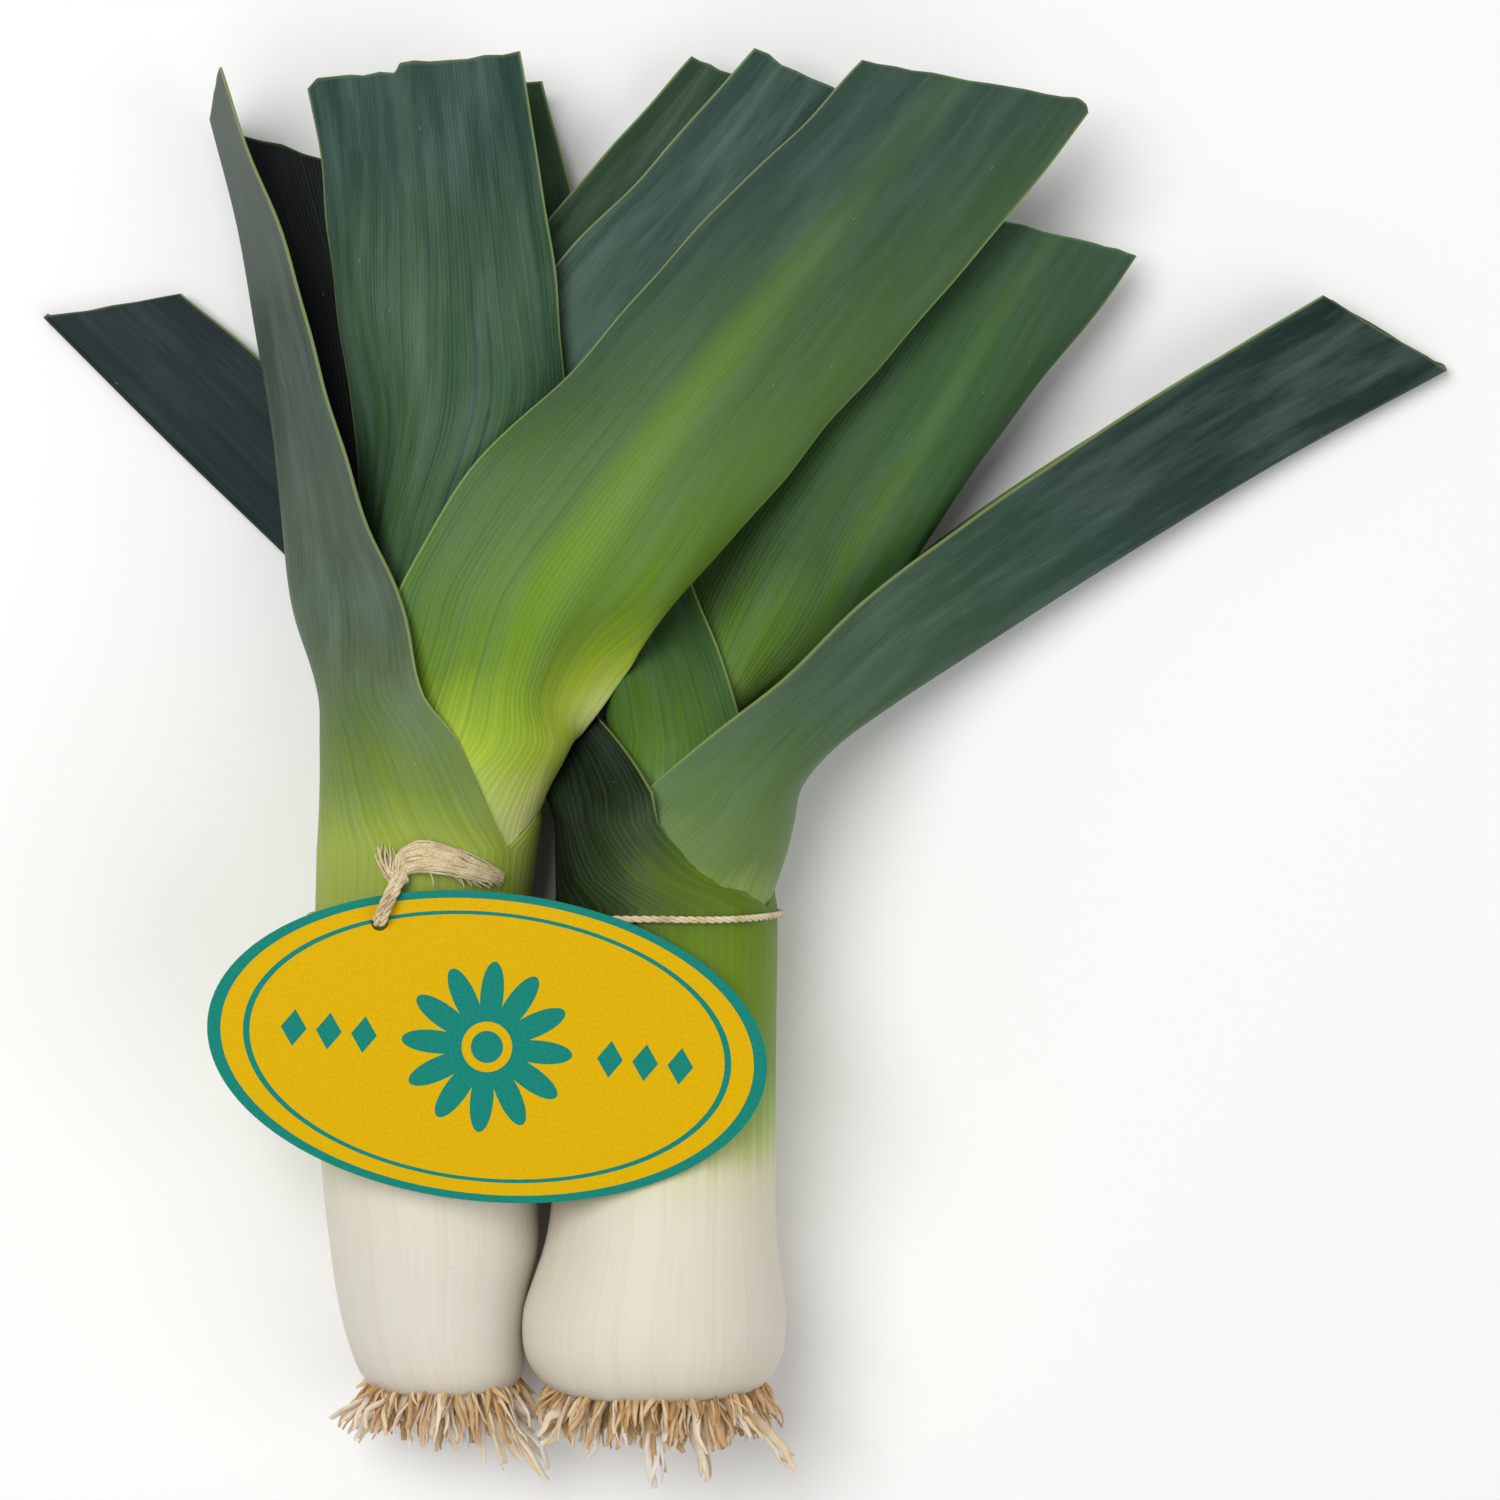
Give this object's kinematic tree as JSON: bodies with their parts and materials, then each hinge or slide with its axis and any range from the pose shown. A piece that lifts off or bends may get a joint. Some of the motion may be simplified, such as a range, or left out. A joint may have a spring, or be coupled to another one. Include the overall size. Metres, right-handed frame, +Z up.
{
  "type": "tied bunch of leeks",
  "caption": "Tied bunch of leeks with white shanks, roots and fanned green leaves, lying down, with a card tag on a twine.",
  "frame": {"origin": "middle of the bunch's outline, on the surface that it lies on", "axes": "+X towards the leek on the right, +Y from the roots to the leaf ends, +Z up from the surface"},
  "size_m": [0.294, 0.2939, 0.0549],
  "materials": {
    "leek_outer": "smooth, white at the root end and green at the leaf end",
    "leek_leaf": "waxy green with fine lengthwise veins",
    "root": "dry and matt",
    "twine": "twisted plant fibre",
    "card": "printed card, satin"
  },
  "bodies": {
    "root": {"left_outer_leaf": "leek_outer", "left_leaf_2": "leek_leaf", "left_leaf_3": "leek_leaf", "left_leaf_4": "leek_leaf", "left_leaf_5": "leek_leaf", "left_roots": "root", "right_outer_leaf": "leek_outer", "right_leaf_2": "leek_leaf", "right_leaf_3": "leek_leaf", "right_leaf_4": "leek_leaf", "right_roots": "root", "twine_loop": "twine", "twine_knot": "twine", "tag": "card"}
  },
  "joints": []
}
